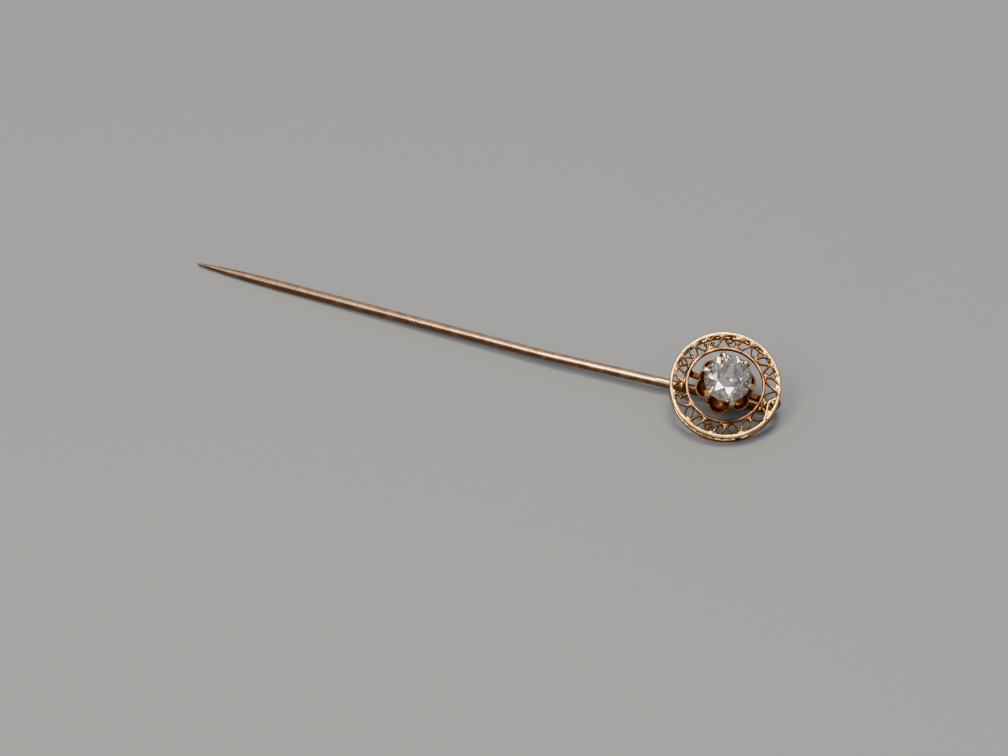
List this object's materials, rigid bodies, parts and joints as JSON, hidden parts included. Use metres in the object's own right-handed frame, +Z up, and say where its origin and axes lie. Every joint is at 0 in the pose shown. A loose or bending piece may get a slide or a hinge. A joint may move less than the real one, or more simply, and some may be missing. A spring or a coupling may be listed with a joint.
{
  "type": "stick pin",
  "caption": "Stick pin with a pierced gold disc, an open gallery behind it, a claw-set round stone raised on its front and a long bent stem.",
  "frame": {"origin": "middle of the bounding box, on the level surface that the pin lies on", "axes": "+X from the point of the stem towards the head, level with the surface; +Z up from the surface"},
  "size_m": [0.0667, 0.0107, 0.009],
  "materials": {
    "rose_gold": "polished, worn soft, with dark patina in the pierced work",
    "yellow_gold": "polished, dark in the petals of the cup",
    "diamond": "clear, old cut, faceted and polished"
  },
  "bodies": {
    "root": {"pin_and_disc": "rose_gold", "claw_setting": "yellow_gold", "diamond": "diamond"}
  },
  "joints": []
}
